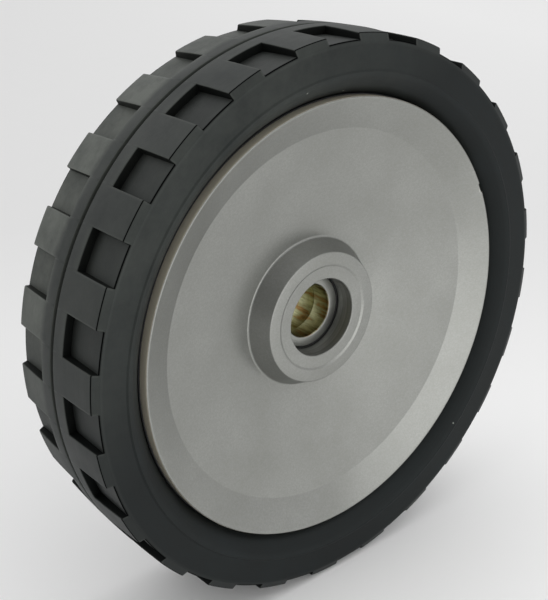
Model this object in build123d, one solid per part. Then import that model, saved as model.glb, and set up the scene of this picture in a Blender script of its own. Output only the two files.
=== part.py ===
from build123d import *
import math
import os

# Garden machine wheel: block-tread tyre, moulded wheel body, snap-on cover and two sealed ball bearings.
# Frame: origin on the spin axis in the tyre's mid-plane, spin axis along Y, covered face towards -Y, +Z up.
# Sizes in millimetres. Angles are in degrees, counted about the spin axis from +X towards +Z.

# Tyre
TYRE_RADIUS = 100.0
TYRE_WIDTH = 46.4
SECTION_HEIGHT = 24.0
CROWN_DROP = 0.8
SHOULDER_INSET = 1.0
SHOULDER_HEIGHT = 2.7
GROOVE_WIDTH = 1.6
GROOVE_DEPTH = 2.0
POCKETS_PER_SIDE = 24
POCKET_ARC = 7.64
POCKET_START = -0.75
POCKET_DEPTH = 2.8
CENTRE_RIB_WIDTH = 13.4
SIDEWALL_HEIGHT = 9.2
SIDEWALL_INSET = 0.35
RIDGE_WIDTH = 1.2
RIDGE_HEIGHT = 0.35
BEAD_LIP_SETBACK = 2.0
BEAD_BULGE = 0.6
TYRE_FIT_GAP = 0.1
LIP_FIT_GAP = 0.2

# Rim and web of the wheel body
RIM_WIDTH = 32.0
RIM_WALL = 3.2
FLANGE_THICKNESS = 2.5
FLANGE_HEIGHT = 3.6
WEB_THICKNESS = 3.5
WEB_OFFSET = 7.0
WEB_FILLET = 2.0
BODY_EDGE_ROUND = 0.5
RIB_COUNT = 12
RIB_THICKNESS = 2.4
RIB_HEIGHT = 4.0
RIB_ROOT = 1.0
HUB_WALL = 3.5
HUB_FRONT_LIP = 0.3
HUB_REAR_SETBACK = 0.5
HUB_SHOULDER_HEIGHT = 3.0
SNAP_LIP_HEIGHT = 1.0
SNAP_LIP_THICKNESS = 2.0
SNAP_LIP_SETBACK = 1.3

# Snap-on cover
COVER_WALL = 2.0
COVER_SEAT_GAP = 0.25
COVER_EDGE_INSET = 0.4
EDGE_LIP = 0.95
CREST_ROUND = 1.0
BAND_WIDTH = 11.25
BAND_ANGLE = 31.4
BAND_FOLD_ROUND = 2.0
BOSS_HEIGHT = 7.7
BOSS_DRAFT = 25.0
BOSS_CLEARANCE = 1.17
BOSS_BASE_ROUND = 0.8
BOSS_EDGE_ROUND = 0.5
FACE_RING_WIDTH = 4.4
FACE_STEP = 0.4
FACE_STEP_RUN = 0.5
FACE_STEP_ROUND = 0.18
RECESS_DEPTH = 8.2
HOLE_CLEARANCE = 0.4
HOLE_EDGE_ROUND = 0.5
COLLAR_GAP = 0.25
TAB_COUNT = 6
TAB_ARC = 8.0
TAB_THICKNESS = 1.4
TAB_EMBED = 0.3
TAB_CLEARANCE = 0.3
BARB_HEIGHT = 0.9
BARB_LENGTH = 2.2
BARB_GAP = 0.2
NOTCH_START = 26.6
NOTCH_ARC = 2.9
NOTCH_DEPTH = 1.2

# Bearings and the tube between them
AXLE_RADIUS = 10.0
BEARING_RADIUS = 21.0
BEARING_WIDTH = 8.0
BEARING_FRONT = -2.1
BEARING_SEAT_GAP = 0.03
RACE_GAP = 3.0
RACE_CHAMFER = 0.5
BORE_CHAMFER = 0.4
BALL_DIAMETER = 4.762
BALL_COUNT = 8
BALL_GAP = 0.06
CAGE_WALL = 1.8
CAGE_POCKET_GAP = 0.12
CAGE_BACK = 2.9
CAGE_PRONG = 0.9
SEAL_THICKNESS = 0.6
SEAL_INSET = 0.3
SEAL_GROOVE = 0.6
SEAL_FIT_GAP = 0.03
SEAL_LIP_GAP = 0.15
SPACER_LENGTH = 14.1
SPACER_WALL = 2.25
SPACER_BORE_GAP = 0.15

# Places that several pieces share
SPIN = Axis((0, 0, 0), (0, -1, 0))
flange_face = RIM_WIDTH / 2
flange_back = flange_face - FLANGE_THICKNESS
rim_seat_radius = TYRE_RADIUS - SECTION_HEIGHT
flange_radius = rim_seat_radius + FLANGE_HEIGHT
barrel_radius = rim_seat_radius - RIM_WALL
snap_lip_radius = barrel_radius - SNAP_LIP_HEIGHT

bearing_back = BEARING_FRONT + BEARING_WIDTH
rear_bearing_front = bearing_back + SPACER_LENGTH
rear_bearing_back = rear_bearing_front + BEARING_WIDTH
ball_pitch = (AXLE_RADIUS + BEARING_RADIUS) / 2
inner_race_radius = ball_pitch - RACE_GAP / 2
outer_race_bore = ball_pitch + RACE_GAP / 2
seat_radius = BEARING_RADIUS + BEARING_SEAT_GAP
hub_radius = seat_radius + HUB_WALL
hub_front = BEARING_FRONT - HUB_FRONT_LIP
hub_rear = rear_bearing_back - HUB_REAR_SETBACK

cover_edge_radius = flange_radius - COVER_EDGE_INSET
fold_radius = cover_edge_radius - BAND_WIDTH
band_slope = math.tan(math.radians(BAND_ANGLE))
band_wall = COVER_WALL / math.cos(math.radians(BAND_ANGLE))
crest_y = -flange_face - EDGE_LIP - band_wall - COVER_WALL * band_slope
fold_y = crest_y + BAND_WIDTH * band_slope
boss_slope = math.tan(math.radians(BOSS_DRAFT))
boss_face_y = BEARING_FRONT - RECESS_DEPTH
boss_base_y = boss_face_y + BOSS_HEIGHT
cover_hole_radius = inner_race_radius + HOLE_CLEARANCE


def band_back_y(radius):
    """Height of the back of the cover's sloping outer band at a radius."""
    return fold_y + band_wall - (radius - fold_radius) * band_slope


def boss_radius(y):
    """Outside radius of the cover's tapered boss at a height."""
    wall = COVER_WALL / math.cos(math.radians(BOSS_DRAFT))
    return hub_radius + BOSS_CLEARANCE + wall + (y - hub_front) * boss_slope


snap_lip_front = band_back_y(barrel_radius) + SNAP_LIP_SETBACK
snap_lip_back = snap_lip_front + SNAP_LIP_THICKNESS


def turned(*corners, arc=360.0):
    """Solid turned about the spin axis from (radius, y) corners, a third value rounding that corner."""
    points = [corner[:2] for corner in corners]
    rounds = [corner[2] if len(corner) > 2 else 0 for corner in corners]
    outline = FilletPolyline(*points, radius=rounds, close=True)
    return revolve(make_face(outline), SPIN, arc)


def around(shape, count, start=0.0):
    """Copies of a shape evenly spaced about the spin axis, the first one turned to the start angle."""
    return [shape.rotate(SPIN, start + place * 360 / count) for place in range(count)]


def tyre_side(side):
    """Outline edges of one sidewall, from the shoulder to the bore, on the side given as -1 or 1."""
    half = TYRE_WIDTH / 2
    shoulder = TYRE_RADIUS - CROWN_DROP
    wide = shoulder - SHOULDER_HEIGHT
    ridge_top = wide - SIDEWALL_HEIGHT
    ridge_foot = ridge_top - RIDGE_WIDTH
    wall_y = half - SIDEWALL_INSET
    ridge_y = wall_y + RIDGE_HEIGHT
    lip_radius = flange_radius + LIP_FIT_GAP
    lip_y = flange_face - BEAD_LIP_SETBACK
    bore = rim_seat_radius + TYRE_FIT_GAP
    back_y = flange_back - TYRE_FIT_GAP
    wall = Polyline(
        (shoulder, side * (half - SHOULDER_INSET)),
        (wide, side * half),
        (ridge_top + RIDGE_WIDTH / 2, side * wall_y),
        (ridge_top, side * ridge_y),
        (ridge_foot, side * wall_y),
    )
    bead = SagittaArc((ridge_foot, side * wall_y), (lip_radius, side * lip_y), -side * BEAD_BULGE)
    seat = Polyline((lip_radius, side * lip_y), (lip_radius, side * back_y), (bore, side * back_y))
    return wall, bead, seat


def tyre():
    """Tyre with a split centre rib, open pockets along both shoulders and beads around the rim flanges."""
    front, rear = tyre_side(-1), tyre_side(1)
    crown = ThreePointArc(front[0] @ 0, (TYRE_RADIUS, 0), rear[0] @ 0)
    bore = Line(front[2] @ 1, rear[2] @ 1)
    body = revolve(make_face([*front, *rear, crown, bore]), SPIN)
    clear = TYRE_RADIUS + POCKET_DEPTH
    groove = turned(
        (TYRE_RADIUS - GROOVE_DEPTH, -GROOVE_WIDTH / 2),
        (clear, -GROOVE_WIDTH / 2),
        (clear, GROOVE_WIDTH / 2),
        (TYRE_RADIUS - GROOVE_DEPTH, GROOVE_WIDTH / 2),
    )
    cuts = [groove]
    for side, start in ((-1, POCKET_START), (1, POCKET_START + 180 / POCKETS_PER_SIDE)):
        pocket = turned(
            (TYRE_RADIUS - POCKET_DEPTH, side * CENTRE_RIB_WIDTH / 2),
            (clear, side * CENTRE_RIB_WIDTH / 2),
            (clear, side * TYRE_WIDTH),
            (TYRE_RADIUS - POCKET_DEPTH, side * TYRE_WIDTH),
            arc=POCKET_ARC,
        )
        cuts += around(pocket, POCKETS_PER_SIDE, start)
    return body - cuts


def wheel_body():
    """Moulded rim, web and hub in one piece, with bearing seats, a snap lip and ribs at the back."""
    web_back = WEB_OFFSET + WEB_THICKNESS
    shoulder_bore = seat_radius - HUB_SHOULDER_HEIGHT
    seat_front_y = band_back_y(barrel_radius) + COVER_SEAT_GAP
    seat_edge = barrel_radius + (flange_face + seat_front_y) / band_slope
    body = turned(
        (seat_radius, hub_front),
        (seat_radius, bearing_back),
        (shoulder_bore, bearing_back),
        (shoulder_bore, rear_bearing_front),
        (seat_radius, rear_bearing_front),
        (seat_radius, hub_rear),
        (hub_radius, hub_rear, BODY_EDGE_ROUND),
        (hub_radius, web_back, WEB_FILLET),
        (barrel_radius, web_back, WEB_FILLET),
        (barrel_radius, flange_face, BODY_EDGE_ROUND),
        (flange_radius, flange_face, BODY_EDGE_ROUND),
        (flange_radius, flange_back),
        (rim_seat_radius, flange_back),
        (rim_seat_radius, -flange_back),
        (flange_radius, -flange_back),
        (flange_radius, -flange_face),
        (seat_edge, -flange_face),
        (barrel_radius, seat_front_y),
        (barrel_radius, snap_lip_front),
        (snap_lip_radius, snap_lip_front),
        (snap_lip_radius, snap_lip_back),
        (barrel_radius, snap_lip_back),
        (barrel_radius, WEB_OFFSET, WEB_FILLET),
        (hub_radius, WEB_OFFSET, WEB_FILLET),
        (hub_radius, hub_front, BODY_EDGE_ROUND),
    )
    rib_inner = hub_radius - RIB_ROOT
    rib_length = barrel_radius + RIB_ROOT - rib_inner
    rib_depth = RIB_HEIGHT + RIB_ROOT
    rib = Pos(rib_inner + rib_length / 2, web_back + RIB_HEIGHT - rib_depth / 2) * Box(
        rib_length, rib_depth, RIB_THICKNESS
    )
    return body + around(rib, RIB_COUNT)


def front_cover():
    """Moulded cover with a sloping outer band, dished face, hollow tapered boss and snap tabs."""
    base = (boss_radius(boss_base_y), boss_base_y)
    face_edge = (boss_radius(boss_face_y), boss_face_y)
    step_top = (face_edge[0] - FACE_RING_WIDTH, boss_face_y)
    step_foot = (step_top[0] - FACE_STEP_RUN, boss_face_y + FACE_STEP)
    hole_edge = (cover_hole_radius, step_foot[1])
    corners = (
        ((cover_edge_radius, crest_y), CREST_ROUND),
        ((fold_radius, fold_y), BAND_FOLD_ROUND),
        (base, BOSS_BASE_ROUND),
        (face_edge, BOSS_EDGE_ROUND),
        (step_top, FACE_STEP_ROUND),
        (step_foot, FACE_STEP_ROUND),
        (hole_edge, HOLE_EDGE_ROUND),
    )
    front_line = Polyline(
        (cover_edge_radius, -flange_face),
        *[corner for corner, radius in corners],
        (cover_hole_radius, BEARING_FRONT - COLLAR_GAP),
    )
    section = make_face(offset(front_line, COVER_WALL, kind=Kind.INTERSECTION, side=Side.RIGHT))
    for corner, radius in corners:
        section = fillet(section.vertices().sort_by_distance(corner)[0], radius)
    tab_outer = snap_lip_radius - TAB_CLEARANCE
    tab_inner = tab_outer - TAB_THICKNESS
    tab_root = band_back_y(tab_outer) - TAB_EMBED
    barb_y = snap_lip_back + BARB_GAP
    tab = turned(
        (tab_inner, tab_root),
        (tab_outer, tab_root),
        (tab_outer, barb_y),
        (tab_outer + BARB_HEIGHT, barb_y),
        (tab_outer, barb_y + BARB_LENGTH),
        (tab_inner, barb_y + BARB_LENGTH),
        arc=TAB_ARC,
    )
    notch = turned(
        (cover_edge_radius - NOTCH_DEPTH, crest_y),
        (flange_radius, crest_y),
        (flange_radius, -flange_face),
        (cover_edge_radius - NOTCH_DEPTH, -flange_face),
        arc=NOTCH_ARC,
    )
    return revolve(section, SPIN) + around(tab, TAB_COUNT) - notch.rotate(SPIN, NOTCH_START)


def spacer_tube():
    """Tube that holds the two inner races apart."""
    bore = AXLE_RADIUS + SPACER_BORE_GAP
    return turned(
        (bore, bearing_back),
        (bore + SPACER_WALL, bearing_back),
        (bore + SPACER_WALL, rear_bearing_front),
        (bore, rear_bearing_front),
    )


def bearing_pieces(front_y, outward):
    """Pieces of one sealed ball bearing from its front face, outward being -1 or 1 along Y."""
    half = BEARING_WIDTH / 2
    ball_radius = BALL_DIAMETER / 2
    groove = revolve(Pos(ball_pitch, 0) * Circle(ball_radius + BALL_GAP), SPIN)
    inner_race = turned(
        (AXLE_RADIUS + BORE_CHAMFER, -half),
        (inner_race_radius - RACE_CHAMFER, -half),
        (inner_race_radius, RACE_CHAMFER - half),
        (inner_race_radius, half - RACE_CHAMFER),
        (inner_race_radius - RACE_CHAMFER, half),
        (AXLE_RADIUS + BORE_CHAMFER, half),
        (AXLE_RADIUS, half - BORE_CHAMFER),
        (AXLE_RADIUS, BORE_CHAMFER - half),
    )
    seal_bed = half - SEAL_INSET - SEAL_THICKNESS
    seal_groove_radius = outer_race_bore + SEAL_GROOVE
    outer_race = turned(
        (seal_groove_radius, -half),
        (BEARING_RADIUS - RACE_CHAMFER, -half),
        (BEARING_RADIUS, RACE_CHAMFER - half),
        (BEARING_RADIUS, half - RACE_CHAMFER),
        (BEARING_RADIUS - RACE_CHAMFER, half),
        (seal_groove_radius, half),
        (seal_groove_radius, seal_bed),
        (outer_race_bore, seal_bed),
        (outer_race_bore, -seal_bed),
        (seal_groove_radius, -seal_bed),
    )
    ball = Pos(ball_pitch, 0) * Sphere(ball_radius)
    cage_ring = turned(
        (ball_pitch - CAGE_WALL / 2, -CAGE_BACK),
        (ball_pitch + CAGE_WALL / 2, -CAGE_BACK),
        (ball_pitch + CAGE_WALL / 2, CAGE_PRONG),
        (ball_pitch - CAGE_WALL / 2, CAGE_PRONG),
    )
    cage_hole = Cylinder(ball_radius + CAGE_POCKET_GAP, BALL_DIAMETER)
    cage_pocket = Pos(ball_pitch, 0) * Rot(0, 90, 0) * cage_hole
    seal = turned(
        (inner_race_radius + SEAL_LIP_GAP, seal_bed),
        (seal_groove_radius - SEAL_FIT_GAP, seal_bed),
        (seal_groove_radius - SEAL_FIT_GAP, seal_bed + SEAL_THICKNESS),
        (inner_race_radius + SEAL_LIP_GAP, seal_bed + SEAL_THICKNESS),
    )
    facing = Pos(0, front_y + half) * (Rot(0, 0, 0) if outward > 0 else Rot(180, 0, 0))
    return {
        "inner_race": facing * (inner_race - groove),
        "outer_race": facing * (outer_race - groove),
        "balls": facing * Compound(around(ball, BALL_COUNT)),
        "cage": facing * (cage_ring - around(cage_pocket, BALL_COUNT)),
        "outer_seal": facing * seal,
        "inner_seal": facing * mirror(seal, Plane.XZ),
    }


pieces = {
    "tyre": tyre(),
    "wheel_body": wheel_body(),
    "front_cover": front_cover(),
    "spacer_tube": spacer_tube(),
}
for place, front_y, outward in (("front", BEARING_FRONT, -1), ("rear", rear_bearing_front, 1)):
    for name, piece in bearing_pieces(front_y, outward).items():
        pieces[f"{place}_{name}"] = piece

os.makedirs("parts", exist_ok=True)
for name, piece in pieces.items():
    export_step(piece, f"parts/{name}.step")
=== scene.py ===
import math
import bmesh
import bpy
from mathutils import Matrix, Vector


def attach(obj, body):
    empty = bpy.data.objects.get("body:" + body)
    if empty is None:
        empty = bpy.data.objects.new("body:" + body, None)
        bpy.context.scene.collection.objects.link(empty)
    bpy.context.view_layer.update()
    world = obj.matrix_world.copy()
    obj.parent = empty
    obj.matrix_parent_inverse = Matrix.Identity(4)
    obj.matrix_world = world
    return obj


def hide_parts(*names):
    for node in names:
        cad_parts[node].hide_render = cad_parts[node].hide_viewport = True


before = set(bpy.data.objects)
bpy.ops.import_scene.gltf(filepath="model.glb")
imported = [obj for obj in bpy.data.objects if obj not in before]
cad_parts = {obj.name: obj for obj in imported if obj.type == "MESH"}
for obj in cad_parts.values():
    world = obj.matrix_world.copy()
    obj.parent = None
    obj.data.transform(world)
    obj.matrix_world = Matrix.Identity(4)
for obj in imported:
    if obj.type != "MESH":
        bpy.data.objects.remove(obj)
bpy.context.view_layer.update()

# Sizes in millimetres, angles in degrees about the axle from +X towards +Z, the covered face towards -Y.
MM = 0.001
AROUND = 360

# Tyre
TYRE_RADIUS = 99.98
TYRE_HALF = 23.2
SHOULDER = (99.2, 22.2)
SIDE_FOOT = 96.5
SIDEWALL = 22.85
RIDGE = (87.3, 23.2)
RIDGE_FOOT = 86.1
BEAD_LIP = (79.8, 15.5)
BEAD_BULGE = 0.6
BEAD_BACK = 13.4
TYRE_BORE = 76.1
PITCHES = 24
POCKET_START = -0.75
POCKET_ARC = 7.64
POCKET_FLOOR = 97.2
RIB_HALF = 6.7
GROOVE_HALF = 0.8
GROOVE_DEPTH = 2.0
GROOVE_SHAPE = (0.45, 0.1, 0.08)
LIP, FOOT, DRAFT = 0.35, 0.1, 0.12
RIDGE_SLOPE = 0.6
# Painted shade: width of the dark line along the shoulder crease, and its strength on pocket walls, their feet
# and the floors beside them
LINE_HALF, LINE_SOFT = 0.3, 0.15
WALL_DARK, FOOT_DARK, FLOOR_DARK = 0.8, 0.45, 0.15
# Lips painted paler, partly wear and partly a painted highlight, most on the rear rib's lip by the groove
RIB_WEAR_AND_HIGHLIGHT, POCKET_WEAR_AND_HIGHLIGHT = 1.0, 0.4
NEARLY = 0.01
# Side and reach of the dust film on the upper left, which also paints light from above there, and the rear row
# where it is thickest
DUST_AND_LIGHT_SIDE = (-0.64, 0.0, 0.77)
DUST_AND_LIGHT_REACH = (35, 100)
REAR_ROW = (5, 8)
TREAD_FOOT = (95.5, 97)

# Wheel body
FLANGE = (79.6, 16.0)
FLANGE_BACK = 13.5
COVER_SEAT = (76.05, -14.01)
RIM_SEAT = 76.0
BARREL = 72.8
SNAP_LIP = (71.8, -12.96, -10.96)
WEB_FRONT, WEB_BACK = 7.0, 10.5
HUB_RADIUS = 24.53
HUB_FRONT, HUB_REAR = -2.4, 27.5
BEARING_SEAT = 21.03
HUB_SHOULDER = 18.03
RIBS = 12
RIB_TOP = 14.5
RIB_THICKNESS = 2.4
RIB_ROOT = 0.8

# Cover
COVER_WALL = 2.0
COVER_EDGE = (79.2, -16.0)
COVER_CREST = (79.2, -20.02, 0.4)
COVER_FOLD = (67.95, -13.647, 2.0)
BOSS_BASE = (27.81, -2.6, 0.8)
BOSS_EDGE = (24.22, -10.3, 0.5)
STEP_TOP = (19.82, -10.3, 0.25)
STEP_FOOT = (19.02, -9.9, 0.3)
COVER_HOLE = (14.4, -9.9, 0.5)
COLLAR_END = (14.4, -2.35)
NOTCH = (26.6, 29.5)
NOTCH_RADIUS = 78.5
NOTCH_ROW = 0.6
TABS = 6
TAB_ARC = 8.0
TAB_STEPS = 8
TAB = (70.1, 71.5, -13.77)
BARB = (72.4, -10.76, -8.56)

# Bearings and the tube between them
BORE = 10.0
BALL_PITCH = 15.5
BALL = 2.381
BALLS = 8
RACE_IN, RACE_OUT = 14.0, 17.0
BEARING_RADIUS = 21.0
HALF_WIDTH = 4.0
RACE_CHAMFER, RACE_ROUND = 0.5, 0.12
BORE_CHAMFERS = (0.4, 0.08)
GROOVE_GAP = 0.06
SEAL = (14.15, 17.57, 3.1, 3.7)
SEAL_GROOVE = 17.6
BEARING_MIDDLES = {"front": 1.9, "rear": 24.0}
TUBE = (10.15, 12.4, 5.9, 20.0)

# Floor, light and camera, in metres
FLOOR_REACH, FLOOR_LEVEL = 6.0, -0.1
BASE_LIGHT = 0.67
GLOWS = (
    ((-0.15, 0.55, 0.82), 0.30, 0.95, 0.5),
    ((0.45, -0.3, 0.84), 0.75, 0.98, 0.8),
    ((-0.9, -0.4, 0.1), 0.3, 0.95, -0.35),
)
SOFTBOX_SIZE = (0.22, 0.18)
SOFTBOX_PLACE = (0.02, -0.27, -0.01)
SOFTBOX_POWER = 0.22
SENSOR = 36.0
FOCAL_SHARE = 945.34 / 600
CAMERA_PLACE = (-0.2067, -0.2367, 0.1363)
CAMERA_RIGHT = (0.7757, -0.6310, 0.0)
CAMERA_AHEAD = (0.5812, 0.7145, -0.3893)


def linear(code):
    """Scene colour of an sRGB hex code."""
    parts = [int(code[place:place + 2], 16) / 255 for place in (1, 3, 5)]
    return (*[p / 12.92 if p <= 0.04045 else ((p + 0.055) / 1.055) ** 2.4 for p in parts], 1.0)


def add(tree, kind, inputs=None, **settings):
    """New node of a tree with its settings, its inputs given as values or as sockets to link from."""
    node = tree.nodes.new(kind)
    for name, value in settings.items():
        setattr(node, name, value)
    for name, value in (inputs or {}).items():
        if isinstance(value, bpy.types.NodeSocket):
            tree.links.new(value, node.inputs[name])
        else:
            node.inputs[name].default_value = value
    return node


def surface(name):
    """New material with its tree, its shader and the piece's own coordinates in metres."""
    material = bpy.data.materials.new(name)
    material.use_nodes = True
    tree = material.node_tree
    return material, tree, tree.nodes["Principled BSDF"], add(tree, "ShaderNodeTexCoord").outputs["Object"]


def blend_stops(ramp, *stops):
    """Sets a colour ramp's stops from (place, hex code) pairs."""
    elements = ramp.color_ramp.elements
    while len(elements) < len(stops):
        elements.new(0.5)
    for element, (place, code) in zip(elements, stops):
        element.position = place
        element.color = linear(code)
    return ramp.outputs["Color"]


def round_axle(tree, place):
    """Radius from the axle, place along it, and coordinates for lines that run round it."""
    split = add(tree, "ShaderNodeSeparateXYZ", {0: place})
    flat = add(tree, "ShaderNodeCombineXYZ", {0: split.outputs[0], 2: split.outputs[2]})
    radius = add(tree, "ShaderNodeVectorMath", {0: flat.outputs[0]}, operation="LENGTH").outputs["Value"]
    rings = add(tree, "ShaderNodeCombineXYZ", {0: radius, 1: split.outputs[1]})
    return radius, split.outputs[1], rings.outputs[0]


def tyre_rubber():
    """Vulcanised black rubber from a blasted steel mould: a dull grey sheen with turned streaks.

    Dust lies on the upper left, most on the rear row, and also stands in for painted light from above there.
    Lips are worn paler, partly a painted highlight. Painted shade darkens the pocket walls, the floors beside
    them and a line along the shoulder's mould crease.
    """
    material, tree, shader, place = surface("moulded_tyre_rubber")
    radius, y, rings = round_axle(tree, place)
    cloud = add(tree, "ShaderNodeTexNoise", {"Vector": place, "Scale": 1 / (14 * MM), "Detail": 5.0})
    streak = add(tree, "ShaderNodeTexNoise", {"Vector": rings, "Scale": 1 / (0.9 * MM),
                                              "Detail": 3.0, "Roughness": 0.6})
    # Grit of the blasted mould, drawn coarser than the real one so that it shows
    grit = add(tree, "ShaderNodeTexNoise", {"Vector": place, "Scale": 1 / (0.5 * MM), "Detail": 3.0})
    mix = add(tree, "ShaderNodeMath", {0: cloud.outputs["Fac"], 1: 0.6}, operation="MULTIPLY")
    mix = add(tree, "ShaderNodeMath", {0: streak.outputs["Fac"], 1: 0.3, 2: mix.outputs[0]},
              operation="MULTIPLY_ADD")
    mix = add(tree, "ShaderNodeMath", {0: grit.outputs["Fac"], 1: 0.1, 2: mix.outputs[0]},
              operation="MULTIPLY_ADD")
    tone = blend_stops(add(tree, "ShaderNodeValToRGB", {"Fac": mix.outputs[0]}),
                       (0.3, "#080a0a"), (0.5, "#0f1212"), (0.72, "#181c1d"))
    # Dust film, paler towards the upper left and most on the rear row: partly dust, partly painted light from
    # above
    lie = add(tree, "ShaderNodeTexNoise", {"Vector": place, "Scale": 1 / (40 * MM), "Detail": 9.0,
                                           "Roughness": 0.75})
    film = add(tree, "ShaderNodeMapRange", {"Value": lie.outputs["Fac"], "From Min": 0.34, "From Max": 0.7,
                                            "To Min": 0.2, "To Max": 1.0})
    side = add(tree, "ShaderNodeVectorMath", {0: place, 1: DUST_AND_LIGHT_SIDE}, operation="DOT_PRODUCT")
    high = add(tree, "ShaderNodeMapRange", {"Value": side.outputs["Value"], "From Min": DUST_AND_LIGHT_REACH[0] * MM,
                                            "From Max": DUST_AND_LIGHT_REACH[1] * MM})
    rear = add(tree, "ShaderNodeMapRange",
               {"Value": y, "From Min": REAR_ROW[0] * MM, "From Max": REAR_ROW[1] * MM,
                "To Min": 0.36, "To Max": 1.5})
    film = add(tree, "ShaderNodeMath", {0: film.outputs[0], 1: high.outputs[0]}, operation="MULTIPLY")
    film = add(tree, "ShaderNodeMath", {0: film.outputs[0], 1: rear.outputs[0]}, operation="MULTIPLY")
    tread = add(tree, "ShaderNodeMapRange",
                {"Value": radius, "From Min": TREAD_FOOT[0] * MM, "From Max": TREAD_FOOT[1] * MM})
    film = add(tree, "ShaderNodeMath", {0: tread.outputs[0], 1: 0.05, 2: film.outputs[0]},
               operation="MULTIPLY_ADD")
    # Paler lips: partly wear, partly a painted highlight
    worn = add(tree, "ShaderNodeAttribute", attribute_name="worn_edge").outputs["Fac"]
    film = add(tree, "ShaderNodeMath", {0: worn, 1: 0.3, 2: film.outputs[0]}, operation="MULTIPLY_ADD",
               use_clamp=True)
    dust_and_light = add(tree, "ShaderNodeMix", {"Factor": film.outputs[0], "A": tone, "B": linear("#5d605a")},
                data_type="RGBA")
    speck = add(tree, "ShaderNodeTexVoronoi", {"Vector": place, "Scale": 1 / (9 * MM)})
    spot = add(tree, "ShaderNodeMapRange",
               {"Value": speck.outputs["Distance"], "From Min": 0.045, "From Max": 0.03})
    rare = add(tree, "ShaderNodeSeparateXYZ", {0: speck.outputs["Color"]})
    rare = add(tree, "ShaderNodeMath", {0: rare.outputs[0], 1: 0.8}, operation="GREATER_THAN")
    spot = add(tree, "ShaderNodeMath", {0: spot.outputs[0], 1: rare.outputs[0]}, operation="MULTIPLY")
    spotted = add(tree, "ShaderNodeMix", {"Factor": spot.outputs[0], "A": dust_and_light.outputs["Result"],
                                          "B": linear("#7d807a")}, data_type="RGBA")
    # Painted shade: pocket walls, the floors beside them and the shoulder crease turn near black and lose their
    # sheen
    line = add(tree, "ShaderNodeAttribute", attribute_name="parting_line").outputs["Fac"]
    colour = add(tree, "ShaderNodeMix", {"Factor": line, "A": spotted.outputs["Result"],
                                         "B": linear("#040505")},
                 data_type="RGBA")
    sheen = add(tree, "ShaderNodeMapRange", {"Value": tread.outputs[0], "To Min": 0.25, "To Max": 0.34})
    clear = add(tree, "ShaderNodeMath", {0: 1.0, 1: line}, operation="SUBTRACT")
    sheen = add(tree, "ShaderNodeMath", {0: sheen.outputs[0], 1: clear.outputs[0]}, operation="MULTIPLY")
    rough = add(tree, "ShaderNodeMapRange", {"Value": mix.outputs[0], "From Min": 0.3, "From Max": 0.7,
                                             "To Min": 0.5, "To Max": 0.66})
    bump = add(tree, "ShaderNodeBump", {"Height": mix.outputs[0], "Strength": 0.3, "Distance": 0.25 * MM})
    tree.links.new(colour.outputs["Result"], shader.inputs["Base Color"])
    tree.links.new(sheen.outputs[0], shader.inputs["Specular IOR Level"])
    tree.links.new(rough.outputs[0], shader.inputs["Roughness"])
    tree.links.new(bump.outputs[0], shader.inputs["Normal"])
    shader.inputs["Specular Tint"].default_value = linear("#eff8f8")
    return material


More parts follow.
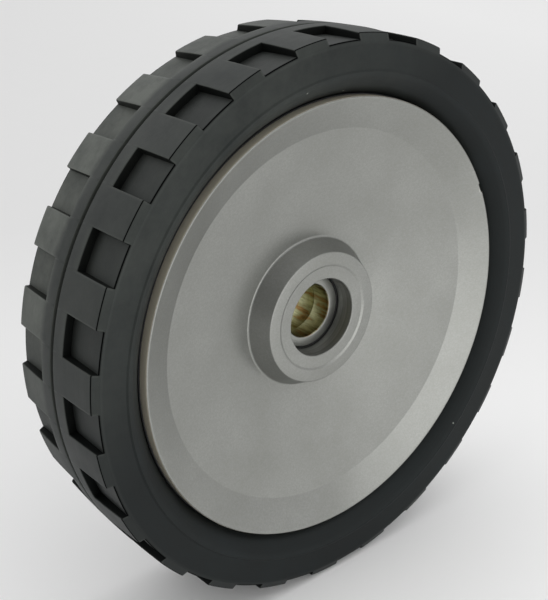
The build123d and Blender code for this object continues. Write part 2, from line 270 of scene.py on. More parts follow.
def cover_plastic():
    """ABS moulded with aluminium flake: satin silver grey, soft cloudy flow, a fine sparkle.

    The edge wall is a pale brownish tone with little metal, a painted reflection of the dark surroundings it
    faces, and darker painted rings round the hole stand in for streaky reflections and shade there.
    """
    material, tree, shader, place = surface("metallic_moulded_abs")
    radius, _, rings = round_axle(tree, place)
    # Flakes, drawn far coarser than the real ones so that they show
    flake = add(tree, "ShaderNodeTexVoronoi", {"Vector": place, "Scale": 1 / (0.45 * MM)})
    glint = add(tree, "ShaderNodeSeparateXYZ", {0: flake.outputs["Color"]})
    flow = add(tree, "ShaderNodeTexNoise", {"Vector": place, "Scale": 1 / (22 * MM), "Detail": 4.0})
    grain = add(tree, "ShaderNodeTexNoise", {"Vector": place, "Scale": 1 / (0.8 * MM), "Detail": 2.0})
    mix = add(tree, "ShaderNodeMath", {0: glint.outputs[0], 1: 0.2}, operation="MULTIPLY")
    mix = add(tree, "ShaderNodeMath", {0: flow.outputs["Fac"], 1: 0.6, 2: mix.outputs[0]},
              operation="MULTIPLY_ADD")
    mix = add(tree, "ShaderNodeMath", {0: grain.outputs["Fac"], 1: 0.2, 2: mix.outputs[0]},
              operation="MULTIPLY_ADD")
    tone = blend_stops(add(tree, "ShaderNodeValToRGB", {"Fac": mix.outputs[0]}),
                       (0.2, "#848580"), (0.5, "#8d8e8a"), (0.8, "#999a96"))
    # Painted reflections and shade: darker rings round the hole
    hole = add(tree, "ShaderNodeMath", {0: radius, 1: (COVER_HOLE[0] + 0.3) * MM}, operation="LESS_THAN")
    streak = add(tree, "ShaderNodeTexNoise", {"Vector": rings, "Scale": 1 / (0.8 * MM),
                                              "Detail": 3.0})
    streak = add(tree, "ShaderNodeMapRange",
                 {"Value": streak.outputs["Fac"], "From Min": 0.35, "From Max": 0.65})
    streak = add(tree, "ShaderNodeMath", {0: streak.outputs[0], 1: hole.outputs[0]}, operation="MULTIPLY")
    drawn = add(tree, "ShaderNodeMix", {"Factor": streak.outputs[0], "A": tone, "B": linear("#787974")},
                data_type="RGBA")
    # Painted reflection: the edge wall takes a pale brownish tone with little metal, standing in for what it
    # reflects
    wall = add(tree, "ShaderNodeMapRange", {"Value": radius, "From Min": (COVER_EDGE[0] - 0.15) * MM,
                                            "From Max": (COVER_EDGE[0] - 0.05) * MM})
    colour = add(tree, "ShaderNodeMix", {"Factor": wall.outputs[0], "A": drawn.outputs["Result"],
                                         "B": linear("#d2cbb8")}, data_type="RGBA")
    metal = add(tree, "ShaderNodeMapRange", {"Value": wall.outputs[0], "To Min": 0.68, "To Max": 0.1})
    rough = add(tree, "ShaderNodeMapRange", {"Value": mix.outputs[0], "To Min": 0.3, "To Max": 0.42})
    bump = add(tree, "ShaderNodeBump", {"Height": mix.outputs[0], "Strength": 0.06, "Distance": 0.1 * MM})
    tree.links.new(colour.outputs["Result"], shader.inputs["Base Color"])
    tree.links.new(metal.outputs[0], shader.inputs["Metallic"])
    tree.links.new(rough.outputs[0], shader.inputs["Roughness"])
    tree.links.new(bump.outputs[0], shader.inputs["Normal"])
    shader.inputs["Specular Tint"].default_value = linear("#cfcfcf")
    return material


def body_plastic():
    """Polypropylene moulded in a textured tool: black, half matt, with a fine even grain."""
    material, tree, shader, place = surface("moulded_polypropylene")
    grain = add(tree, "ShaderNodeTexNoise", {"Vector": place, "Scale": 1 / (0.6 * MM), "Detail": 3.0})
    flow = add(tree, "ShaderNodeTexNoise", {"Vector": place, "Scale": 1 / (25 * MM), "Detail": 3.0})
    mix = add(tree, "ShaderNodeMath", {0: flow.outputs["Fac"], 1: 0.6}, operation="MULTIPLY")
    mix = add(tree, "ShaderNodeMath", {0: grain.outputs["Fac"], 1: 0.4, 2: mix.outputs[0]},
              operation="MULTIPLY_ADD")
    tone = blend_stops(add(tree, "ShaderNodeValToRGB", {"Fac": mix.outputs[0]}),
                       (0.3, "#18181a"), (0.7, "#2a2a2c"))
    rough = add(tree, "ShaderNodeMapRange", {"Value": mix.outputs[0], "To Min": 0.38, "To Max": 0.62})
    bump = add(tree, "ShaderNodeBump", {"Height": grain.outputs["Fac"], "Strength": 0.3,
                                        "Distance": 0.12 * MM})
    tree.links.new(tone, shader.inputs["Base Color"])
    tree.links.new(rough.outputs[0], shader.inputs["Roughness"])
    tree.links.new(bump.outputs[0], shader.inputs["Normal"])
    shader.inputs["IOR"].default_value = 1.49
    return material


def bore_film(tree, place):
    """Colour and lines of the brassy film in the bore: olive, brown and green, drawn along the axle."""
    drawn = add(tree, "ShaderNodeMapping", {"Vector": place, "Scale": (1.0, 0.12, 1.0)})
    lines = add(tree, "ShaderNodeTexNoise",
                {"Vector": drawn.outputs[0], "Scale": 1 / (1.3 * MM), "Detail": 4.0})
    long = add(tree, "ShaderNodeMapping", {"Vector": place, "Scale": (1.0, 0.35, 1.0)})
    patch = add(tree, "ShaderNodeTexNoise",
                {"Vector": long.outputs[0], "Scale": 1 / (4 * MM), "Detail": 5.0})
    mix = add(tree, "ShaderNodeMath", {0: patch.outputs["Fac"], 1: 0.6}, operation="MULTIPLY")
    mix = add(tree, "ShaderNodeMath", {0: lines.outputs["Fac"], 1: 0.4, 2: mix.outputs[0]},
              operation="MULTIPLY_ADD")
    tone = blend_stops(add(tree, "ShaderNodeValToRGB", {"Fac": mix.outputs[0]}),
                       (0.36, "#574f38"), (0.43, "#98794a"), (0.48, "#979772"), (0.57, "#c0bf98"),
                       (0.66, "#8a9070"))
    return tone, lines.outputs["Fac"]


def ground_steel():
    """Hardened bearing steel: grey metal with fine rings from grinding, bores painted olive and a little
    darker, a painted reflection of the yellow tube with painted shade.
    """
    material, tree, shader, place = surface("ground_bearing_steel")
    radius, _, rings = round_axle(tree, place)
    # Rings left by grinding, drawn coarser than the real ones so that they show
    grind = add(tree, "ShaderNodeTexNoise", {"Vector": rings, "Scale": 1 / (0.35 * MM), "Detail": 4.0})
    stain = add(tree, "ShaderNodeTexNoise", {"Vector": place, "Scale": 1 / (6 * MM), "Detail": 4.0})
    mix = add(tree, "ShaderNodeMath", {0: stain.outputs["Fac"], 1: 0.45}, operation="MULTIPLY")
    mix = add(tree, "ShaderNodeMath", {0: grind.outputs["Fac"], 1: 0.55, 2: mix.outputs[0]},
              operation="MULTIPLY_ADD")
    tone = blend_stops(add(tree, "ShaderNodeValToRGB", {"Fac": mix.outputs[0]}),
                       (0.3, "#8f908c"), (0.7, "#a8a9a4"))
    # Painted reflection and shade: the bores take the tube's olive film, darkened a little
    bore = add(tree, "ShaderNodeMapRange",
               {"Value": radius, "From Min": (BORE + 0.3) * MM, "From Max": (BORE + 0.1) * MM})
    bore_reflection_and_shade = add(tree, "ShaderNodeMix", {"Factor": 0.2, "A": bore_film(tree, place)[0],
                                        "B": linear("#33301f")},
                data_type="RGBA")
    colour = add(tree, "ShaderNodeMix", {"Factor": bore.outputs[0], "A": tone,
                                         "B": bore_reflection_and_shade.outputs["Result"]},
                 data_type="RGBA")
    rough = add(tree, "ShaderNodeMapRange", {"Value": mix.outputs[0], "To Min": 0.28, "To Max": 0.46})
    depth = add(tree, "ShaderNodeMapRange", {"Value": bore.outputs[0], "To Min": 0.2, "To Max": 0.0})
    bump = add(tree, "ShaderNodeBump", {"Height": grind.outputs["Fac"], "Strength": depth.outputs[0],
                                        "Distance": 0.05 * MM})
    tree.links.new(colour.outputs["Result"], shader.inputs["Base Color"])
    tree.links.new(rough.outputs[0], shader.inputs["Roughness"])
    tree.links.new(bump.outputs[0], shader.inputs["Normal"])
    shader.inputs["Metallic"].default_value = 1.0
    return material


def yellow_zinc():
    """Zinc plate with yellow chromate: brassy olive film with brown and green, lines along the tube."""
    material, tree, shader, place = surface("yellow_chromated_zinc")
    tone, lines = bore_film(tree, place)
    rough = add(tree, "ShaderNodeMapRange", {"Value": lines, "To Min": 0.28, "To Max": 0.46})
    bump = add(tree, "ShaderNodeBump", {"Height": lines, "Strength": 0.1, "Distance": 0.05 * MM})
    tree.links.new(tone, shader.inputs["Base Color"])
    tree.links.new(rough.outputs[0], shader.inputs["Roughness"])
    tree.links.new(bump.outputs[0], shader.inputs["Normal"])
    shader.inputs["Metallic"].default_value = 1.0
    return material


def seal_rubber():
    """Nitrile rubber pressed on a steel disc: plain black with a soft dull sheen."""
    material, tree, shader, place = surface("pressed_nitrile_rubber")
    grain = add(tree, "ShaderNodeTexNoise", {"Vector": place, "Scale": 1 / (0.8 * MM), "Detail": 3.0})
    tone = blend_stops(add(tree, "ShaderNodeValToRGB", {"Fac": grain.outputs["Fac"]}),
                       (0.35, "#121212"), (0.7, "#232322"))
    rough = add(tree, "ShaderNodeMapRange", {"Value": grain.outputs["Fac"], "To Min": 0.45, "To Max": 0.65})
    bump = add(tree, "ShaderNodeBump", {"Height": grain.outputs["Fac"], "Strength": 0.2,
                                        "Distance": 0.1 * MM})
    tree.links.new(tone, shader.inputs["Base Color"])
    tree.links.new(rough.outputs[0], shader.inputs["Roughness"])
    tree.links.new(bump.outputs[0], shader.inputs["Normal"])
    shader.inputs["IOR"].default_value = 1.52
    return material


def cage_plastic():
    """Polyamide moulded bare: warm off-white, slightly waxy."""
    material, tree, shader, place = surface("moulded_polyamide")
    cloud = add(tree, "ShaderNodeTexNoise", {"Vector": place, "Scale": 1 / (3 * MM), "Detail": 3.0})
    tone = blend_stops(add(tree, "ShaderNodeValToRGB", {"Fac": cloud.outputs["Fac"]}),
                       (0.3, "#cfc6ac"), (0.7, "#e2dcc8"))
    rough = add(tree, "ShaderNodeMapRange", {"Value": cloud.outputs["Fac"], "To Min": 0.38, "To Max": 0.52})
    tree.links.new(tone, shader.inputs["Base Color"])
    tree.links.new(rough.outputs[0], shader.inputs["Roughness"])
    shader.inputs["IOR"].default_value = 1.53
    return material


def floor_paper():
    """White paper sweep: pale grey with hardly any sheen, painted light making it whiter close by and painted
    shade darker towards the left and back.
    """
    material, tree, shader, place = surface("white_paper_sweep")
    fibre = add(tree, "ShaderNodeTexNoise", {"Vector": place, "Scale": 1 / (40 * MM), "Detail": 3.0})
    # Painted shade: the floor grows darker towards the left and back, where light falls off
    across = add(tree, "ShaderNodeVectorMath", {0: place, 1: (1.0, -0.5, 0.0)}, operation="DOT_PRODUCT")
    fall = add(tree, "ShaderNodeMapRange",
               {"Value": across.outputs["Value"], "From Min": -0.2, "From Max": 0.9,
                "To Min": 0.1, "To Max": 0.9})
    mix = add(tree, "ShaderNodeMath", {0: fibre.outputs["Fac"], 1: 0.05, 2: fall.outputs[0]},
              operation="MULTIPLY_ADD")
    tone = blend_stops(add(tree, "ShaderNodeValToRGB", {"Fac": mix.outputs[0]}),
                       (0.1, "#e0e0df"), (0.95, "#eeeeed"))
    # Painted light: the floor grows whiter close by
    depth = add(tree, "ShaderNodeVectorMath", {0: place, 1: (0.58, 0.71, 0.0)}, operation="DOT_PRODUCT")
    painted_light_near = add(tree, "ShaderNodeMapRange",
               {"Value": depth.outputs["Value"], "From Min": 0.4, "From Max": -0.05,
                "To Max": 0.85}, interpolation_type="SMOOTHSTEP")
    pale = add(tree, "ShaderNodeMix", {"Factor": painted_light_near.outputs[0], "A": tone, "B": linear("#f8f8f7")},
               data_type="RGBA")
    tree.links.new(pale.outputs["Result"], shader.inputs["Base Color"])
    shader.inputs["Roughness"].default_value = 0.9
    return material


def rounded(*corners, steps=5):
    """Outline points in (radius, y) from corners, a third value rounding that corner."""
    outline = []
    for before, corner, after in zip(corners[-1:] + corners[:-1], corners, corners[1:] + corners[:1]):
        here = Vector(corner[:2])
        if len(corner) < 3:
            outline.append(here)
            continue
        back = (Vector(before[:2]) - here).normalized()
        ahead = (Vector(after[:2]) - here).normalized()
        half = back.angle(ahead) / 2
        centre = here + (back + ahead).normalized() * corner[2] / math.sin(half)
        start = here + back * corner[2] / math.tan(half) - centre
        sweep = start.angle_signed(here + ahead * corner[2] / math.tan(half) - centre)
        outline += [centre + Matrix.Rotation(-sweep * k / steps, 2) @ start for k in range(steps + 1)]
    return outline


def bowed(start, end, sagitta, steps):
    """Points between two ends along an arc that bows aside by the sagitta, to the left if positive."""
    start, end = Vector(start), Vector(end)
    side = (end - start).orthogonal().normalized() * sagitta
    return [start.lerp(end, k / steps) + side * (1 - (2 * k / steps - 1) ** 2) for k in range(1, steps)]


def shell(name, columns, closed=True, **marks):
    """Mesh through columns of points, each a closed loop of the section, with named marks on the points."""
    mesh = bpy.data.meshes.new(name)
    count, rows = len(columns), len(columns[0])
    faces = []
    for c in range(count if closed else count - 1):
        for r in range(rows):
            here, there = c * rows, (c + 1) % count * rows
            faces.append((here + r, here + (r + 1) % rows, there + (r + 1) % rows, there + r))
    mesh.from_pydata([point for column in columns for point in column], [], faces)
    for title, values in marks.items():
        mesh.attributes.new(title, "FLOAT", "POINT").data.foreach_set("value", values)
    sheet = bmesh.new()
    sheet.from_mesh(mesh)
    bmesh.ops.remove_doubles(sheet, verts=sheet.verts, dist=0.001 * MM)
    bmesh.ops.recalc_face_normals(sheet, faces=sheet.faces)
    sheet.to_mesh(mesh)
    sheet.free()
    return mesh


def at(radius, y, angle):
    """Point in metres at a radius, a place along the axle and an angle round it."""
    return (radius * math.cos(angle) * MM, y * MM, radius * math.sin(angle) * MM)


def turned(name, outline, angles=None, moved=None):
    """Mesh turned about the axle from an outline, each point moved where a rule is given."""
    angles = angles or [2 * math.pi * k / AROUND for k in range(AROUND)]
    moved = moved or (lambda radius, y, angle: (radius, y))
    mesh = shell(name, [[at(*moved(*point, angle), angle) for point in outline] for angle in angles])
    mesh.shade_smooth()
    mesh.set_sharp_from_angle(angle=math.radians(32))
    return mesh


def repeated_round_axle():
    """Tree that repeats a shape evenly round the axle and joins the copies into one mesh."""
    tree = bpy.data.node_groups.new("repeated_round_axle", "GeometryNodeTree")
    face = tree.interface
    face.new_socket("Shape", in_out="INPUT", socket_type="NodeSocketGeometry")
    face.new_socket("Copies", in_out="INPUT", socket_type="NodeSocketInt")
    face.new_socket("Join within", in_out="INPUT", socket_type="NodeSocketFloat")
    face.new_socket("Material", in_out="INPUT", socket_type="NodeSocketMaterial")
    face.new_socket("Ring", in_out="OUTPUT", socket_type="NodeSocketGeometry")
    given = add(tree, "NodeGroupInput").outputs
    row = add(tree, "GeometryNodeMeshLine", {"Count": given["Copies"], "Offset": (0.0, 0.0, 0.0)})
    step = add(tree, "ShaderNodeMath", {0: -2 * math.pi, 1: given["Copies"]}, operation="DIVIDE")
    index = add(tree, "GeometryNodeInputIndex")
    turn = add(tree, "ShaderNodeMath", {0: index.outputs[0], 1: step.outputs[0]}, operation="MULTIPLY")
    spin = add(tree, "ShaderNodeCombineXYZ", {"Y": turn.outputs[0]})
    copies = add(tree, "GeometryNodeInstanceOnPoints",
                 {"Points": row.outputs[0], "Instance": given["Shape"],
                  "Rotation": spin.outputs[0]})
    real = add(tree, "GeometryNodeRealizeInstances", {"Geometry": copies.outputs[0]})
    joined = add(tree, "GeometryNodeMergeByDistance", {"Geometry": real.outputs[0],
                                                       "Distance": given["Join within"]})
    painted = add(tree, "GeometryNodeSetMaterial", {"Geometry": joined.outputs[0],
                                                    "Material": given["Material"]})
    add(tree, "NodeGroupOutput", {"Ring": painted.outputs[0]})
    return tree


def placed(name, mesh, material, slot, body, *nodes):
    """Finished piece from a mesh, riding on a body and standing for its nodes."""
    piece = bpy.data.objects.new(name, mesh)
    bpy.context.scene.collection.objects.link(piece)
    piece.data.materials.clear()
    piece.data.materials.append(material)
    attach(piece, body)
    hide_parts(*nodes)
    return piece


def ringed(name, mesh, copies, material, join=0.004, even=False):
    """Mesh of a shape repeated round the axle, with normals evened over its flat faces where asked."""
    holder = bpy.data.objects.new(name + "_pattern", mesh)
    bpy.context.scene.collection.objects.link(holder)
    pattern = holder.modifiers.new("repeat", "NODES")
    pattern.node_group = REPEATED
    values = {"Copies": copies, "Join within": join * MM, "Material": material}
    for socket in REPEATED.interface.items_tree:
        if socket.in_out == "INPUT" and socket.name in values:
            pattern[socket.identifier] = values[socket.name]
    if even:
        evened = holder.modifiers.new("even", "WEIGHTED_NORMAL")
        evened.weight, evened.keep_sharp = 80, True
    ready = holder.evaluated_get(bpy.context.evaluated_depsgraph_get())
    made = bpy.data.meshes.new_from_object(ready)
    bpy.data.objects.remove(holder)
    made.name = name
    return made


def sunk(inside, depth, lip=LIP, foot=FOOT, draft=DRAFT):
    """Depth of a moulded recess at a distance inside its edge: rounded lip, steep wall, rounded foot."""
    if inside <= -lip:
        return 0.0
    if inside <= 0:
        return lip - math.sqrt(max(0.0, lip ** 2 - (inside + lip) ** 2))
    if inside <= draft:
        return lip + (depth - lip - foot) * inside / draft
    if inside <= draft + foot:
        return depth - foot + math.sqrt(max(0.0, foot ** 2 - (foot + draft - inside) ** 2))
    return depth


def edge_marks(lip=LIP, foot=FOOT, draft=DRAFT):
    """Distances inside a recess's edge at which its rounded wall needs a row of points."""
    return [-lip, -0.293 * lip, 0.0, draft, draft + 0.293 * foot, draft + foot]


def tyre_pitch():
    """One pitch of the tyre: front and rear pockets with their blocks, painted shade lines and paler lips,
    partly painted highlight, marked.
    """
    crown = (SHOULDER[1] ** 2 + (TYRE_RADIUS - SHOULDER[0]) ** 2) / 2 / (TYRE_RADIUS - SHOULDER[0])
    across = [0.0]
    across += [GROOVE_HALF - row for row in reversed(edge_marks(*GROOVE_SHAPE))]
    across += [3.6]
    across += [RIB_HALF + row for row in edge_marks()]
    across += [11.0, 15.5, 19.5, 21.3]
    half = [(TYRE_RADIUS - crown + math.sqrt(crown ** 2 - y ** 2), y) for y in across]
    half += rounded((half[-1][0], half[-1][1]), (*SHOULDER, 0.5), (SIDE_FOOT, TYRE_HALF), steps=3)[1:5]
    lean = (TYRE_HALF - SHOULDER[1]) / (SHOULDER[0] - SIDE_FOOT)
    half += [(r, SHOULDER[1] + (SHOULDER[0] - r) * lean)
             for r in (98.3, POCKET_FLOOR + 0.2, POCKET_FLOOR, POCKET_FLOOR - 0.2)]
    half += rounded(SHOULDER, (SIDE_FOOT, TYRE_HALF, 0.8), (RIDGE[0] + RIDGE_SLOPE, SIDEWALL), steps=3)[1:5]
    half += [(93.5, 23.07), (90.5, 22.95)]
    half += rounded((SIDE_FOOT, TYRE_HALF), (RIDGE[0] + RIDGE_SLOPE, SIDEWALL, 0.25), RIDGE, steps=2)[1:4]
    half += rounded((RIDGE[0] + RIDGE_SLOPE, SIDEWALL), (*RIDGE, 0.25), (RIDGE_FOOT, SIDEWALL),
                    steps=2)[1:4]
    half += [(RIDGE_FOOT, SIDEWALL)]
    half += bowed((RIDGE_FOOT, SIDEWALL), BEAD_LIP, -BEAD_BULGE, 9)
    half += rounded((RIDGE_FOOT, SIDEWALL), (*BEAD_LIP, 0.2), (BEAD_LIP[0], BEAD_BACK), steps=2)[1:4]
    half += [(BEAD_LIP[0], BEAD_BACK), (TYRE_BORE, BEAD_BACK)]
    outline = [(r, -y) for r, y in reversed(half[1:])] + [tuple(point) for point in half]

    pitch = 360 / PITCHES
    degree = math.radians(1) * TYRE_RADIUS
    middles = {-1: POCKET_START + POCKET_ARC / 2, 1: POCKET_START + POCKET_ARC / 2 + pitch / 2}
    first = middles[-1]
    marks = {first, first + pitch}
    for middle in middles.values():
        for edge, way in ((middle - POCKET_ARC / 2, 1), (middle + POCKET_ARC / 2, -1)):
            rows = edge_marks() + [-0.8]
            marks.update(first + (edge + way * row / degree - first) % pitch for row in rows)
    marks.update(first + pitch * k / 10 for k in range(10))
    angles = []
    for angle in sorted(marks):
        if not angles or angle - angles[-1] > 0.012:
            angles.append(angle)
    angles[-1] = first + pitch

    columns, lines, lip_wear_and_highlight = [], [], []
    for angle in angles:
        column = []
        for radius, y in outline:
            offset = (angle - middles[-1 if y < 0 else 1] + pitch / 2) % pitch - pitch / 2
            along = (POCKET_ARC / 2 - abs(offset)) * degree
            inside = min(along, abs(y) - RIB_HALF)
            beside = abs(y) < GROOVE_HALF + 1
            if beside:
                inside = GROOVE_HALF - abs(y)
                radius -= sunk(inside, GROOVE_DEPTH, *GROOVE_SHAPE)
            elif radius > POCKET_FLOOR:
                radius -= min(radius - POCKET_FLOOR, sunk(inside, TYRE_RADIUS - POCKET_FLOOR))
            column.append(at(radius, y, math.radians(angle)))
            # Painted shade along the shoulder crease, where the tread meets the sidewall
            top = POCKET_FLOOR if along > 0 else SHOULDER[0]
            away = abs(SHOULDER[1] + (SHOULDER[0] - top) * lean - abs(y))
            line = min(1.0, max(0.0, (LINE_HALF - away) / LINE_SOFT)) if radius > top - LINE_HALF else 0.0
            # Painted shade in the pockets: darkest on the walls, less at their feet, faint on the floors
            if not beside and radius > POCKET_FLOOR - NEARLY and inside > -NEARLY:
                wall, foot = inside < DRAFT + 0.8 * FOOT, inside < DRAFT + FOOT + NEARLY
                line = max(line, WALL_DARK if wall else FOOT_DARK if foot else FLOOR_DARK)
            lines.append(line)
            # Lips painted paler: partly wear, partly a painted highlight
            lip = -0.4 < inside < NEARLY and radius > POCKET_FLOOR
            lip_wear_and_highlight.append((RIB_WEAR_AND_HIGHLIGHT if beside and y > 0 else POCKET_WEAR_AND_HIGHLIGHT) if lip else 0.0)
        columns.append(column)
    mesh = shell("tyre_pitch", columns, closed=False, parting_line=lines, worn_edge=lip_wear_and_highlight)
    mesh.shade_smooth()
    mesh.set_sharp_from_angle(angle=math.radians(38))
    return mesh


def inset(line, wall):
    """Corners of a line moved to its right by a wall's thickness."""
    points = [Vector(corner[:2]) for corner in line]
    sides = []
    for start, end in zip(points, points[1:]):
        along = (end - start).normalized()
        aside = Vector((along.y, -along.x)) * wall
        sides.append((start + aside, end + aside, along))
    corners = [sides[0][0]]
    for (start, _, along), (other, _, onward) in zip(sides, sides[1:]):
        reach = (other - start).cross(onward) / along.cross(onward)
        corners.append(start + along * reach)
    return corners + [sides[-1][1]]


def band_y(radius):
    """Place along the axle of the cover's sloping band at a radius."""
    fall = (COVER_FOLD[1] - COVER_CREST[1]) / (COVER_CREST[0] - COVER_FOLD[0])
    return COVER_CREST[1] + (COVER_CREST[0] - radius) * fall


def cover_outline():
    """Section of the cover: sloping band, dished face, tapered boss with a stepped ring, collar in the hole."""
    front = [COVER_EDGE, COVER_CREST, COVER_FOLD, BOSS_BASE, BOSS_EDGE, STEP_TOP, STEP_FOOT, COVER_HOLE,
             COLLAR_END]
    back = [tuple(corner) for corner in inset(front, COVER_WALL)]
    front.insert(2, (NOTCH_RADIUS - NOTCH_ROW, band_y(NOTCH_RADIUS - NOTCH_ROW)))
    return rounded(*front, *reversed(back), steps=6)


def notched(radius, y, angle):
    """Keeps the cover's edge inside the pry notch's floor between the notch's ends."""
    if radius > NOTCH_RADIUS and NOTCH[0] + 0.06 < math.degrees(angle) < NOTCH[1] - 0.06:
        return NOTCH_RADIUS, max(y, band_y(NOTCH_RADIUS))
    return radius, y


def cover_angles():
    """Angles of the cover's columns, with a close pair at each end of the notch."""
    angles = {2 * math.pi * k / AROUND for k in range(AROUND)}
    for end in NOTCH:
        angles -= {angle for angle in angles if abs(math.degrees(angle) - end) < 0.4}
        angles |= {math.radians(end - 0.08), math.radians(end + 0.08)}
    return sorted(angles)


def body_outline():
    """Section of the wheel body: rim with two flanges, conical cover seat, snap lip, web and hub."""
    lip, lip_front, lip_back = SNAP_LIP
    flange, face = FLANGE
    front, rear = (middle + side * HALF_WIDTH for middle, side in zip(BEARING_MIDDLES.values(), (1, -1)))
    return rounded(
        (BEARING_SEAT, HUB_FRONT), (BEARING_SEAT, front), (HUB_SHOULDER, front), (HUB_SHOULDER, rear),
        (BEARING_SEAT, rear), (BEARING_SEAT, HUB_REAR), (HUB_RADIUS, HUB_REAR, 0.5),
        (HUB_RADIUS, WEB_BACK, 2.0), (BARREL, WEB_BACK, 2.0), (BARREL, face, 0.5), (flange, face, 0.5),
        (flange, FLANGE_BACK), (RIM_SEAT, FLANGE_BACK), (RIM_SEAT, -FLANGE_BACK), (flange, -FLANGE_BACK),
        (flange, -face, 0.2), (COVER_SEAT[0], -face), (BARREL, COVER_SEAT[1]), (BARREL, lip_front),
        (lip, lip_front), (lip, lip_back), (BARREL, lip_back), (BARREL, WEB_FRONT, 2.0),
        (HUB_RADIUS, WEB_FRONT, 2.0), (HUB_RADIUS, HUB_FRONT, 0.5),
    )


def rib():
    """One rib of the web's back, from the hub to the rim, with rounded top edges."""
    mesh = bpy.data.meshes.new("rib")
    block = bmesh.new()
    inner, outer, low = HUB_RADIUS - RIB_ROOT, BARREL + RIB_ROOT, WEB_BACK - RIB_ROOT
    size = Vector((outer - inner, RIB_TOP - low, RIB_THICKNESS)) * MM
    middle = Vector(((inner + outer) / 2, (low + RIB_TOP) / 2, 0)) * MM
    bmesh.ops.create_cube(block, size=1, matrix=Matrix.Translation(middle) @ Matrix.Diagonal((*size, 1)))
    top = [edge for edge in block.edges if all(v.co.y > middle.y for v in edge.verts)
           and abs(edge.verts[0].co.x - edge.verts[1].co.x) > 0.001]
    bmesh.ops.bevel(block, geom=top, offset=0.4 * MM, segments=3, profile=0.5, affect="EDGES")
    block.to_mesh(mesh)
    block.free()
    mesh.shade_smooth()
    mesh.set_sharp_from_angle(angle=math.radians(40))
    return mesh


def tab():
    """One snap tab of the cover with its barb."""
    inner, outer, root = TAB
    barb, barb_front, barb_back = BARB
    outline = [(inner, root), (outer, root), (outer, barb_front), (barb, barb_front), (outer, barb_back),
               (inner, barb_back)]
    angles = [math.radians(TAB_ARC * k / TAB_STEPS) for k in range(TAB_STEPS + 1)]
    mesh = bpy.data.meshes.new("tab")
    rows = len(outline)
    points = [at(*point, angle) for angle in angles for point in outline]
    faces = [(c * rows + r, c * rows + (r + 1) % rows, (c + 1) * rows + (r + 1) % rows, (c + 1) * rows + r)
             for c in range(TAB_STEPS) for r in range(rows)]
    faces += [tuple(range(rows)), tuple(TAB_STEPS * rows + r for r in reversed(range(rows)))]
    mesh.from_pydata(points, [], faces)
    block = bmesh.new()
    block.from_mesh(mesh)
    bmesh.ops.recalc_face_normals(block, faces=block.faces)
    block.to_mesh(mesh)
    block.free()
    return mesh


def raceway(edge, middle):
    """Points of the ball groove in a race, from its front edge to its rear edge."""
    bow = BALL + GROOVE_GAP
    half = math.asin(math.sqrt(1 - ((edge - BALL_PITCH) / bow) ** 2))
    side = 1 if edge > BALL_PITCH else -1
    return [(BALL_PITCH + side * bow * math.cos(half * k / 6), middle + bow * math.sin(half * k / 6))
            for k in range(-6, 7)]


def inner_race_outline(middle, outward):
    """Section of an inner race: bore chamfered at its outward end, chamfered shoulders, ball groove outside."""
    low, high = middle - HALF_WIDTH, middle + HALF_WIDTH
    front, rear = BORE_CHAMFERS if outward < 0 else reversed(BORE_CHAMFERS)
    return rounded(
        (BORE + front, low, front * 0.3), (RACE_IN - RACE_CHAMFER, low, RACE_ROUND),
        (RACE_IN, low + RACE_CHAMFER, RACE_ROUND), *raceway(RACE_IN, middle),
        (RACE_IN, high - RACE_CHAMFER, RACE_ROUND), (RACE_IN - RACE_CHAMFER, high, RACE_ROUND),
        (BORE + rear, high, rear * 0.3), (BORE, high - rear, rear * 0.3),
        (BORE, low + front, front * 0.3), steps=2,
    )


def outer_race_outline(middle):
    """Section of an outer race: chamfered outside, seal seats and ball groove inside."""
    low, high, bed = middle - HALF_WIDTH, middle + HALF_WIDTH, SEAL[2]
    return rounded(
        (SEAL_GROOVE, low), (BEARING_RADIUS - RACE_CHAMFER, low, RACE_ROUND),
        (BEARING_RADIUS, low + RACE_CHAMFER, RACE_ROUND), (BEARING_RADIUS, high - RACE_CHAMFER, RACE_ROUND),
        (BEARING_RADIUS - RACE_CHAMFER, high, RACE_ROUND), (SEAL_GROOVE, high),
        (SEAL_GROOVE, middle + bed), (RACE_OUT, middle + bed), *reversed(raceway(RACE_OUT, middle)),
        (RACE_OUT, middle - bed), (SEAL_GROOVE, middle - bed), steps=2,
    )


def seal_outline(middle, side):
    """Section of a seal, a thin ring with rounded edges on one side of its bearing."""
    inner, outer, bed, face = SEAL
    return rounded((inner, middle + side * bed, 0.15), (outer, middle + side * bed),
                   (outer, middle + side * face, 0.1), (inner, middle + side * face, 0.2), steps=3)


def tube_outline():
    """Section of the tube between the inner races, its edges rounded."""
    inner, outer, front, rear = TUBE
    return rounded((inner, front, 0.05), (outer, front, 0.2), (outer, rear, 0.2), (inner, rear, 0.05),
                   steps=2)


def ball(middle):
    """One ball at its place in the bearing."""
    mesh = bpy.data.meshes.new("ball")
    sphere = bmesh.new()
    bmesh.ops.create_uvsphere(sphere, u_segments=32, v_segments=20, radius=BALL * MM,
                              matrix=Matrix.Translation(Vector((BALL_PITCH, middle, 0)) * MM))
    sphere.to_mesh(mesh)
    sphere.free()
    mesh.shade_smooth()
    return mesh


REPEATED = repeated_round_axle()
RUBBER = tyre_rubber()
SILVER = cover_plastic()
BLACK = body_plastic()
STEEL = ground_steel()
ZINC = yellow_zinc()
NITRILE = seal_rubber()
NYLON = cage_plastic()

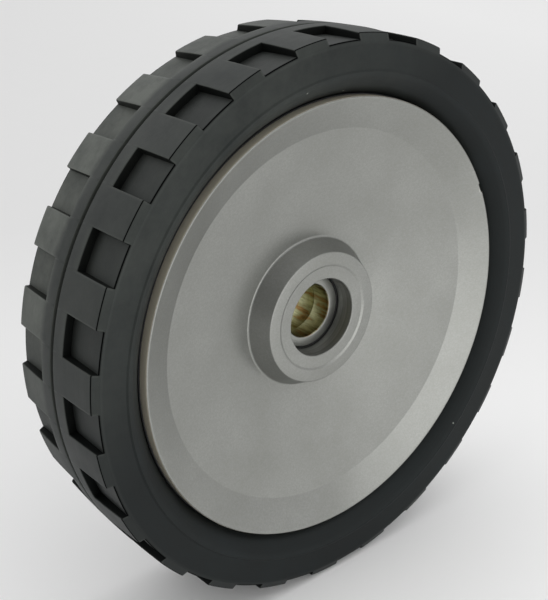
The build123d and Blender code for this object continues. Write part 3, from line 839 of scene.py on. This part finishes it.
# Turning outer pieces
placed("tyre_moulding", ringed("tyre_moulding", tyre_pitch(), PITCHES, RUBBER, even=True), RUBBER,
       "tyre_rubber", "wheel", "tyre")
placed("cover_moulding", turned("cover_moulding", cover_outline(), cover_angles(), notched), SILVER,
       "cover_plastic", "wheel", "front_cover")
placed("cover_snap_tabs", ringed("cover_snap_tabs", tab(), TABS, SILVER), SILVER, "cover_plastic", "wheel",
       "front_cover")
placed("body_moulding", turned("body_moulding", body_outline()), BLACK, "body_plastic", "wheel",
       "wheel_body")
placed("body_ribs", ringed("body_ribs", rib(), RIBS, BLACK), BLACK, "body_plastic", "wheel", "wheel_body")

# Bearings and the tube between the inner races
for end, middle in BEARING_MIDDLES.items():
    outward = -1 if end == "front" else 1
    name = f"{end}_inner_ring"
    placed(name, turned(name, inner_race_outline(middle, outward)), STEEL, "bearing_steel", "hub_core",
           f"{end}_inner_race")
    name = f"{end}_outer_ring"
    placed(name, turned(name, outer_race_outline(middle)), STEEL, "bearing_steel", "wheel",
           f"{end}_outer_race")
    name = f"{end}_ball_ring"
    placed(name, ringed(name, ball(middle), BALLS, STEEL), STEEL, "bearing_steel", f"{end}_ball_set",
           f"{end}_balls")
    for place, side in (("outer", outward), ("inner", -outward)):
        name = f"{end}_{place}_seal_ring"
        placed(name, turned(name, seal_outline(middle, side)), NITRILE, "seal_rubber", "wheel",
               f"{end}_{place}_seal")
    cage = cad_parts[f"{end}_cage"]
    cage.data.materials.clear()
    cage.data.materials.append(NYLON)
placed("spacer_sleeve", turned("spacer_sleeve", tube_outline()), ZINC, "zinc_steel", "hub_core",
       "spacer_tube")

# Floor
floor_mesh = bpy.data.meshes.new("paper_floor")
corners = ((-1, -1), (1, -1), (1, 1), (-1, 1))
floor_mesh.from_pydata([(x * FLOOR_REACH, y * FLOOR_REACH, FLOOR_LEVEL) for x, y in corners], [],
                       [(0, 1, 2, 3)])
floor = bpy.data.objects.new("paper_floor", floor_mesh)
floor_mesh.materials.append(floor_paper())
bpy.context.scene.collection.objects.link(floor)

# Soft studio light: a glow high behind the tread, another high at the front right, darker towards the left
world = bpy.data.worlds.new("studio")
world.use_nodes = True
sky = world.node_tree
toward = add(sky, "ShaderNodeTexCoord").outputs["Generated"]
strength = BASE_LIGHT
for aim, edge, core, gain in GLOWS:
    facing = add(sky, "ShaderNodeVectorMath", {0: toward, 1: Vector(aim).normalized()},
                 operation="DOT_PRODUCT")
    glow = add(sky, "ShaderNodeMapRange", {"Value": facing.outputs["Value"], "From Min": edge,
                                           "From Max": core, "To Max": gain}, interpolation_type="SMOOTHSTEP")
    strength = add(sky, "ShaderNodeMath", {0: glow.outputs[0], 1: strength}, operation="ADD").outputs[0]
sky.links.new(strength, sky.nodes["Background"].inputs["Strength"])
sky.nodes["Background"].inputs["Color"].default_value = linear("#f8f8f9")
bpy.context.scene.world = world

# Softbox that stands close in front of the cover, beside the lens
box = bpy.data.lights.new("softbox", "AREA")
box.shape = "RECTANGLE"
box.size, box.size_y = SOFTBOX_SIZE
box.energy = SOFTBOX_POWER
softbox = bpy.data.objects.new("softbox", box)
softbox.location = SOFTBOX_PLACE
softbox.rotation_euler = (math.pi / 2, 0.0, 0.0)
bpy.context.scene.collection.objects.link(softbox)
bpy.context.scene.view_settings.view_transform = "Standard"

# Camera a little above the wheel, in front of it and to its left
lens = bpy.data.cameras.new("camera")
lens.sensor_fit = "VERTICAL"
lens.sensor_height = SENSOR
lens.lens = FOCAL_SHARE * SENSOR
lens.clip_start, lens.clip_end = 0.01, 50.0
camera = bpy.data.objects.new("camera", lens)
right = Vector(CAMERA_RIGHT).normalized()
ahead = Vector(CAMERA_AHEAD).normalized()
above = right.cross(ahead)
turn = Matrix((right, above, -ahead)).transposed().to_4x4()
camera.matrix_world = Matrix.Translation(CAMERA_PLACE) @ turn
bpy.context.scene.collection.objects.link(camera)
bpy.context.scene.camera = camera
